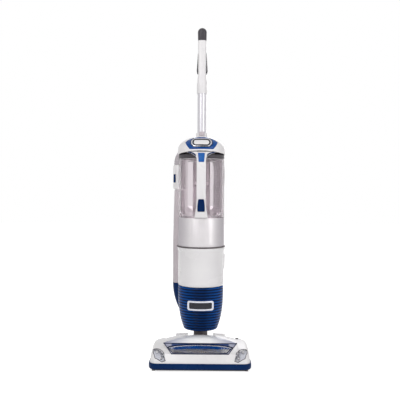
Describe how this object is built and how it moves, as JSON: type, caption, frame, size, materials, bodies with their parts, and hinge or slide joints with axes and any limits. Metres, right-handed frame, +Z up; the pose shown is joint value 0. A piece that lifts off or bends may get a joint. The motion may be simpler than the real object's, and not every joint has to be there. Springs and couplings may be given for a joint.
{
  "type": "upright vacuum cleaner",
  "caption": "Bagless upright vacuum cleaner with a wide floor nozzle, clear dust cup, side duct and hose, and a lift-off wand with a loop handle.",
  "frame": {"origin": "centre of the machine's footprint box, on the floor", "axes": "+X to the machine's left as it faces the viewer's right, +Y from the nozzle's front towards the user, +Z up"},
  "size_m": [0.321, 0.3377, 1.1209],
  "materials": {
    "pearl": "gloss",
    "silver": "satin metallic",
    "chrome": "polished",
    "blue": "gloss",
    "navy": "gloss",
    "charcoal": "matte",
    "taupe": "satin",
    "steel": "brushed",
    "clear": "clear, tinted grey",
    "foam": "open foam",
    "filter_paper": "matte",
    "rubber": "matte",
    "tyre": "matte",
    "bristle": "matte",
    "wand_metal": "painted gloss",
    "hose_plastic": "gloss",
    "soft_grip": "matte"
  },
  "bodies": {
    "nozzle": {"nozzle_hull": "pearl", "sole_plate": "charcoal", "bumper": "navy", "silver_frame": "chrome", "brush_window": "clear", "window_band": "blue", "nozzle_lenses": "clear", "headlight_reflectors": "chrome", "brush_motor": "steel", "drive_belt": "rubber", "brush_bearings": "charcoal", "wheel_axles": "steel"},
    "brush": {"brushroll": "silver", "brush_bristles": "bristle"},
    "pulley": {"motor_pulley": "steel"},
    "wheel_left": {"left_wheel": "tyre"},
    "wheel_right": {"right_wheel": "tyre"},
    "roller_left": {"left_roller": "rubber"},
    "roller_right": {"right_roller": "rubber"},
    "neck": {"neck_yoke": "taupe"},
    "body": {"swivel_collar": "navy", "motor_base": "silver", "motor_mount": "rubber", "fan_motor": "steel", "fan_cover": "taupe", "hepa_filter": "filter_paper", "filter_housing": "pearl", "pre_filters": "foam", "seal_ring": "rubber", "side_duct": "taupe", "duct_foot": "navy", "hose": "hose_plastic", "hose_port": "pearl", "spine": "pearl", "cord_gland": "rubber", "tool_post": "pearl", "top_housing": "pearl", "blue_panel": "blue", "badge_plate": "chrome"},
    "fan": {"fan_rotor": "steel"},
    "cover": {"ribbed_cover": "blue", "cover_frame": "chrome"},
    "hose_end": {"hose_cuff": "pearl"},
    "hose_button": {"cuff_button": "navy"},
    "cup": {"dust_cup": "clear", "cup_band": "silver", "cup_door": "charcoal", "cyclone": "taupe", "cup_lid": "charcoal", "carry_handle": "pearl", "accent_strips": "navy"},
    "cup_release": {"cup_button": "blue"},
    "door_release": {"door_button": "navy"},
    "hook": {"upper_cord_hook": "pearl"},
    "switch": {"power_switch": "charcoal"},
    "wand_release": {"wand_button": "taupe"},
    "handle": {"wand": "wand_metal", "handle_shell": "pearl", "handle_grip": "soft_grip", "handle_cap": "charcoal"}
  },
  "joints": [
    {"name": "brush_spin", "type": "hinge", "parent": "nozzle", "child": "brush", "pos_m": [0, -0.112, 0.0285], "axis": [1, 0, 0], "continuous": true},
    {"name": "pulley_spin", "type": "hinge", "parent": "nozzle", "child": "pulley", "pos_m": [0, -0.049, 0.038], "axis": [1, 0, 0], "continuous": true},
    {"name": "left_wheel_spin", "type": "hinge", "parent": "nozzle", "child": "wheel_left", "pos_m": [0, 0.066, 0.03], "axis": [1, 0, 0], "continuous": true},
    {"name": "right_wheel_spin", "type": "hinge", "parent": "nozzle", "child": "wheel_right", "pos_m": [0, 0.066, 0.03], "axis": [1, 0, 0], "continuous": true},
    {"name": "left_roller_spin", "type": "hinge", "parent": "nozzle", "child": "roller_left", "pos_m": [0, -0.147, 0.007], "axis": [1, 0, 0], "continuous": true},
    {"name": "right_roller_spin", "type": "hinge", "parent": "nozzle", "child": "roller_right", "pos_m": [0, -0.147, 0.007], "axis": [1, 0, 0], "continuous": true},
    {"name": "recline", "type": "hinge", "parent": "nozzle", "child": "neck", "pos_m": [0, 0.066, 0.03], "axis": [-1, 0, 0], "range_deg": [0, 68]},
    {"name": "steer", "type": "hinge", "parent": "neck", "child": "body", "pos_m": [0, 0.066, 0.088], "axis": [0, 0, 1], "range_deg": [-35, 35]},
    {"name": "fan_spin", "type": "hinge", "parent": "body", "child": "fan", "pos_m": [0, 0.026, 0.235], "axis": [0, 0, 1], "continuous": true},
    {"name": "cover_pull", "type": "slide", "parent": "body", "child": "cover", "axis": [0, -1, 0], "range_m": [0, 0.06]},
    {"name": "cuff_lift", "type": "slide", "parent": "body", "child": "hose_end", "axis": [0, 0, 1], "range_m": [0, 0.03], "deforming": ["hose"]},
    {"name": "cuff_button_press", "type": "slide", "parent": "hose_end", "child": "hose_button", "axis": [0.7314, 0.682, 0], "range_m": [0, 0.0015], "stiffness_N_per_m": 400},
    {"name": "cup_pull", "type": "slide", "parent": "body", "child": "cup", "axis": [0, -1, 0], "range_m": [0, 0.18]},
    {"name": "cup_button_press", "type": "slide", "parent": "cup", "child": "cup_release", "axis": [0, 1, 0], "range_m": [0, 0.003], "stiffness_N_per_m": 400},
    {"name": "door_button_press", "type": "slide", "parent": "cup", "child": "door_release", "axis": [0, 1, 0], "range_m": [0, 0.003], "stiffness_N_per_m": 400},
    {"name": "hook_turn", "type": "hinge", "parent": "body", "child": "hook", "pos_m": [0, 0.13, 0.589], "axis": [0, 1, 0], "range_deg": [0, 180]},
    {"name": "switch_rock", "type": "hinge", "parent": "body", "child": "switch", "pos_m": [0, 0.108, 0.724], "axis": [1, 0, 0], "range_deg": [0, 12]},
    {"name": "wand_button_press", "type": "slide", "parent": "body", "child": "wand_release", "axis": [0, 0, -1], "range_m": [0, 0.003], "stiffness_N_per_m": 400},
    {"name": "handle_lift", "type": "slide", "parent": "body", "child": "handle", "axis": [0, 0, 1], "range_m": [0, 0.12]}
  ],
  "couplings": [
    {"joint": "pulley_spin", "follows": "brush_spin", "ratio": 2.5}
  ]
}
